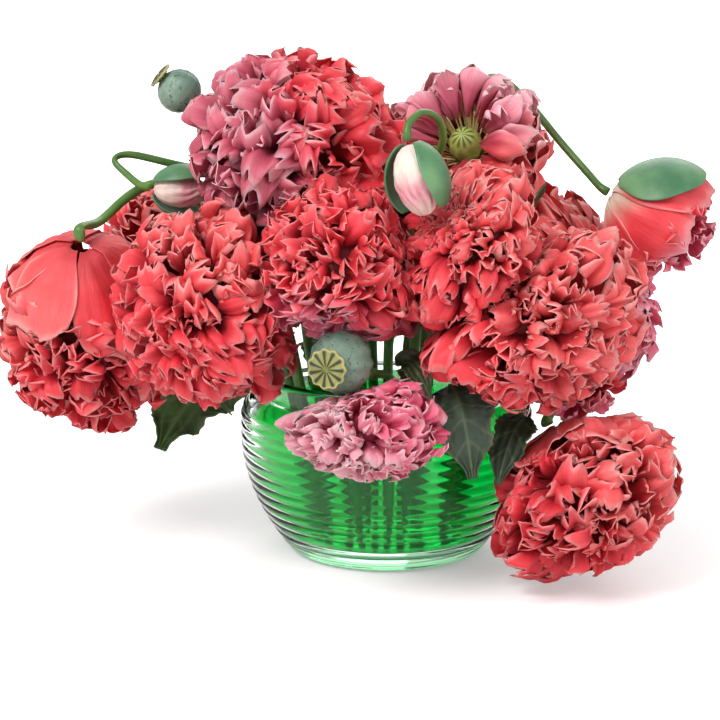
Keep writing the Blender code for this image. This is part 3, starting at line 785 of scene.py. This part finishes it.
leafPlan = {  # three points of the midrib in millimetres, the way the face looks, width, lobes on each side
    "left": {"midrib": [(-58, 47, 106), (-96, 66, 84), (-122, 34, 42)], "look": (-0.35, -0.8, 0.4),
             "width": 58, "lobes": 4, "green": (0.06, 0.15, 0.035)},
    "front": {"midrib": [(30, -62, 101), (36, -86, 104), (41, -86, 60)], "look": (0.1, -1, 0.25),
              "width": 36, "lobes": 3, "green": (0.045, 0.085, 0.055)},
    "pink": {"midrib": [(6, -68, 112), (12, -82, 122), (20, -86, 100)], "look": (0.4, -1, 0.2),
             "width": 15, "lobes": 2, "green": (0.05, 0.08, 0.03)},
    "top": {"midrib": [(62, -22, 172), (70, -30, 186), (78, -40, 198)], "look": (0.6, -0.6, 0.5),
            "width": 14, "lobes": 2, "green": (0.03, 0.08, 0.03)},
    "hanging": {"midrib": [(69, -58, 84), (60, -71, 82), (54, -80, 55)], "look": (-0.3, -0.8, 0.6),
                "width": 22, "lobes": 2, "green": (0.025, 0.05, 0.025)},
    "back": {"midrib": [(-18, 64, 104), (-26, 88, 96), (-34, 82, 40)], "look": (-0.3, 1, 0.1),
             "width": 46, "lobes": 3, "green": (0.05, 0.12, 0.04)},
}
leafForm = {  # shares of the leaf's width, and millimetres for its least half width
    "rows": 90, "columns": 29, "thick": 0.0006, "least": 0.3, "between": 0.74, "teeth": 5.5, "tooth": 0.10,
    "cup": 0.16, "buckle": 0.018, "crease": 0.012, "droop": 0.05, "midVein": 0.05, "sideVein": 0.07,
    "vein": (0.20, 0.28, 0.14), "rim": (0.30, 0.30, 0.14),
}


def makeLeaf(key, midrib, look, width, lobes, green):
    # rows across a bent midrib (a quadratic curve); half width = leaf outline * lobes * teeth, and the blade
    # cups, buckles and waves at its edge
    form = leafForm
    a, b, c = (np.array(p, dtype=float) for p in midrib)
    t = np.linspace(0.02, 1, form["rows"])[:, None]
    u = np.linspace(-1, 1, form["columns"])[None, :]
    at = a * (1 - t) ** 2 + b * 2 * t * (1 - t) + c * t ** 2
    run = unit((b - a) * (1 - t) + (c - b) * t)
    side = unit(np.cross(run, unit(np.array(look, dtype=float))))
    cup = np.cross(side, run)
    lobe = form["between"] + (1 - form["between"]) * np.abs(np.sin(np.pi * lobes * t)) ** 0.7
    teeth = 1 + form["tooth"] * (2 * np.abs((t * lobes * form["teeth"]) % 1 - 0.5) - 0.5)
    outline = np.sin(np.pi * np.minimum(t, 0.97) ** 0.8) ** 0.7
    half = width / 2 * outline * lobe * teeth + form["least"]
    lift = form["cup"] * half * u ** 2 + form["crease"] * width * np.cos(14 * u)
    lift = lift + form["buckle"] * width * np.sin(9 * t * lobes) * np.abs(u)
    droop = form["droop"] * width * np.abs(u) * np.sin(np.pi * lobes * 2 * t)
    points = at[:, None] + side[:, None] * (half * u)[..., None] + cup[:, None] * lift[..., None]
    points = (points + run[:, None] * droop[..., None]) * mm
    sideVeins = ((t * lobes * 2 - np.abs(u) * 0.9) % 1 - 0.5) / form["sideVein"]
    vein = np.clip(np.exp(-(u / form["midVein"]) ** 2) + 0.7 * np.exp(-sideVeins ** 2), 0, 1)[..., None]
    tint = blend(np.array(green), np.array(form["vein"]), 0.5 * vein)
    tint = blend(tint, np.array(form["rim"]), 0.45 * smooth(0.90, 1.0, np.abs(u) + 0 * t)[..., None])
    flags = np.stack(np.broadcast_arrays(u, t, 0 * u * t), axis=-1)
    sheet = [(points[None], flags[None], tint[None])]
    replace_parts(thinSheets(f"{key}_leaf", sheet, form["thick"], leafSkin), "leaf_" + key)


for key, plan in leafPlan.items():
    makeLeaf(key, **plan)
print("stems and leaves made")


bowlShape = {  # millimetres
    "foot": 49.0, "belly": 76.0, "bellyLow": 62.0, "bellyHigh": 71.0, "neck": 67.0, "neckHigh": 83.0,
    "rim": 70.0, "rimHigh": 97.0, "wall": 4.6, "floor": 8.0, "ribPitch": 5.6, "ribDepth": 0.65,
    "corner": 4.0, "flat": 30.0, "ribsLow": (1, 5), "ribsHigh": (74, 79), "pole": 0.3,
}
waterShape = {"high": 78.0, "gap": 0.25, "lift": 0.3, "dip": 0.4, "flat": 40.0}  # a hair off the glass


def bowlRadius(z):
    # foot to belly as a power of a sine, an upright belly, a quarter-ellipse shoulder and a flared neck
    s = bowlShape
    low = s["foot"] + (s["belly"] - s["foot"]) * np.sin(np.pi / 2 * np.clip(z / s["bellyLow"], 0, 1)) ** 0.8
    shoulder = np.clip((z - s["bellyHigh"]) / (s["neckHigh"] - s["bellyHigh"]), 0, 1)
    high = s["neck"] + (s["belly"] - s["neck"]) * np.sqrt(1 - shoulder ** 2)
    rise = np.clip((z - s["neckHigh"]) / (s["rimHigh"] - s["neckHigh"]), 0, 1)
    neck = s["neck"] + (s["rim"] - s["neck"]) * rise ** 2
    return np.where(z < s["bellyHigh"], low, np.where(z < s["neckHigh"], high, neck))


def turnedPiece(name, profile, material, steps=144):
    # a closed profile of (radius, height), from the axis round the wall and back to the axis, turned about Z
    turn = np.linspace(0, 2 * np.pi, steps + 1)[:-1]
    r, z = profile[:, 0:1] * mm, profile[:, 1:2] * mm
    rings = np.stack(np.broadcast_arrays(r * np.cos(turn), r * np.sin(turn), z), axis=-1)
    return closeEnds(closedRound(name, rings, material))


def flatFloor(height, lift=0.0):
    # from the axis out to where the round corner inside the bowl starts
    s = bowlShape
    out = bowlRadius(s["floor"]) - s["wall"] - s["corner"] - lift
    return np.array([[s["pole"], height + lift], [s["flat"], height + lift], [out, height + lift]])


def makeBowl():
    # up the inside, over the lip, down the ribbed outside and in under the foot; ribs are a cosine raised to
    # a power, cut into the wall, and they fade out at the foot and at the neck
    s = bowlShape
    wallHigh = np.linspace(s["floor"] + 3, s["neckHigh"], 26)
    inner = np.concatenate([wallHigh, np.linspace(s["neckHigh"] + 1, s["rimHigh"] - 2, 6)])
    inside = np.stack([bowlRadius(inner) - s["wall"], inner], axis=-1)
    lip = np.array([[s["rim"] - 4.0, s["rimHigh"] - 1], [s["rim"] - 2.3, s["rimHigh"]],
                    [s["rim"] - 0.6, s["rimHigh"] - 0.8]])
    outer = np.linspace(s["rimHigh"] - 2.5, 1.2, 150)
    ribs = smooth(*s["ribsLow"], outer) * (1 - smooth(*s["ribsHigh"], outer))
    wave = (0.5 - 0.5 * np.cos(2 * np.pi * outer / s["ribPitch"])) ** 1.6
    outside = np.stack([bowlRadius(outer) - s["ribDepth"] * ribs * wave, outer], axis=-1)
    base = np.array([[s["foot"] - 1, 0.2], [s["foot"] - 2.5, 0.0], [25, 0.0], [s["pole"], 0.0]])
    profile = np.concatenate([flatFloor(s["floor"]), inside, lip, outside, base])
    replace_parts(turnedPiece("ribbed_bowl", profile, glassSkin), "bowl")


def makeWater():
    # fills the bowl up to its level, which dips a little from the glass to the middle
    s, w = bowlShape, waterShape
    heights = np.linspace(s["floor"] + 3, w["high"] - 0.6, 24)
    side = np.stack([bowlRadius(heights) - s["wall"] - w["gap"], heights], axis=-1)
    level = w["high"] - w["dip"]
    top = np.array([[side[-1][0] - 0.5, w["high"]], [w["flat"], level], [s["pole"], level]])
    profile = np.concatenate([flatFloor(s["floor"], w["lift"]), side, top])
    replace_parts(turnedPiece("tinted_water", profile, waterSkin, 96), "water")


makeBowl()
makeWater()
print("bowl and water made")


studio = {  # the floor glows up to white with its distance from the bowl, for the camera and through glass
    "floorTone": 0.86, "floorRough": 0.9, "near": 0.15, "far": 0.60, "nearGlow": 0.30, "farGlow": 1.0,
    "softSky": 0.62, "whiteSky": 1.0, "aim": (0, 0, 0.12),
}
lampPlan = {  # place and size in metres, power in watts
    "key_light": {"place": (-0.9, -1.1, 1.5), "size": 0.8, "power": 30},
    "fill_light": {"place": (1.2, -0.9, 0.7), "size": 1.2, "power": 7},
    "back_light": {"place": (0.3, 1.3, 1.0), "size": 1.0, "power": 8},
}
cameraPlan = {"target": (-0.0138, 0, 0.0993), "distance": 1.2, "rise": 13, "lens": 115.4, "sensor": 36}


def seenDirectly(tree):
    # 1 for rays from the camera and rays that come through glass
    path = add(tree, "ShaderNodeLightPath")
    seen = add(tree, "ShaderNodeMath", operation="MAXIMUM")
    tree.links.new(path.outputs["Is Camera Ray"], seen.inputs[0])
    tree.links.new(path.outputs["Is Transmission Ray"], seen.inputs[1])
    return seen.outputs[0]


def makeFloor():
    bpy.ops.mesh.primitive_plane_add(size=8, location=(0, 0, -0.0004))
    floor = bpy.context.object
    floor.name = "pale_floor"
    made, tree, shader = newMaterial("floor_white")
    setInputs(shader, {"Base Color": (*[studio["floorTone"]] * 3, 1), "Roughness": studio["floorRough"],
                       "Emission Color": (1, 1, 1, 1)})
    place = add(tree, "ShaderNodeTexCoord")
    away = add(tree, "ShaderNodeVectorMath", operation="LENGTH")
    tree.links.new(place.outputs["Object"], away.inputs[0])
    reach = rangeOf(tree, away.outputs["Value"], studio["near"], studio["far"], studio["nearGlow"],
                    studio["farGlow"])
    glow = add(tree, "ShaderNodeMath", operation="MULTIPLY")
    tree.links.new(seenDirectly(tree), glow.inputs[0])
    tree.links.new(reach, glow.inputs[1])
    tree.links.new(glow.outputs[0], shader.inputs["Emission Strength"])
    floor.data.materials.append(made)


def makeSky():
    # white where it is seen directly, softer as a light
    world = bpy.data.worlds.new("studio")
    bpy.context.scene.world = world
    world.use_nodes = True
    tree = world.node_tree
    tree.nodes.clear()
    mix = add(tree, "ShaderNodeMixShader")
    tree.links.new(seenDirectly(tree), mix.inputs[0])
    for socket, strength in ((1, studio["softSky"]), (2, studio["whiteSky"])):
        shade = add(tree, "ShaderNodeBackground", Strength=strength)
        shade.inputs["Color"].default_value = (1, 1, 1, 1)
        tree.links.new(shade.outputs[0], mix.inputs[socket])
    leave = add(tree, "ShaderNodeOutputWorld")
    tree.links.new(mix.outputs[0], leave.inputs[0])


def makeLamps():
    for name, plan in lampPlan.items():
        data = bpy.data.lights.new(name, "AREA")
        data.size, data.energy = plan["size"], plan["power"]
        lamp = bpy.data.objects.new(name, data)
        lamp.location = plan["place"]
        aim = Vector(studio["aim"]) - Vector(plan["place"])
        lamp.rotation_euler = aim.to_track_quat("-Z", "Y").to_euler()
        bpy.context.scene.collection.objects.link(lamp)


def makeCamera():
    data = bpy.data.cameras.new("camera")
    data.lens, data.sensor_width, data.clip_start = cameraPlan["lens"], cameraPlan["sensor"], 0.05
    camera = bpy.data.objects.new("camera", data)
    rise = np.radians(cameraPlan["rise"])
    away = Vector((0, -np.cos(rise), np.sin(rise))) * cameraPlan["distance"]
    camera.location = Vector(cameraPlan["target"]) + away
    camera.rotation_euler = (-away).to_track_quat("-Z", "Y").to_euler()
    bpy.context.scene.collection.objects.link(camera)
    bpy.context.scene.camera = camera


makeFloor()
makeSky()
makeLamps()
makeCamera()
bpy.context.scene.view_settings.view_transform = "Standard"
print("floor, lamps and camera made")
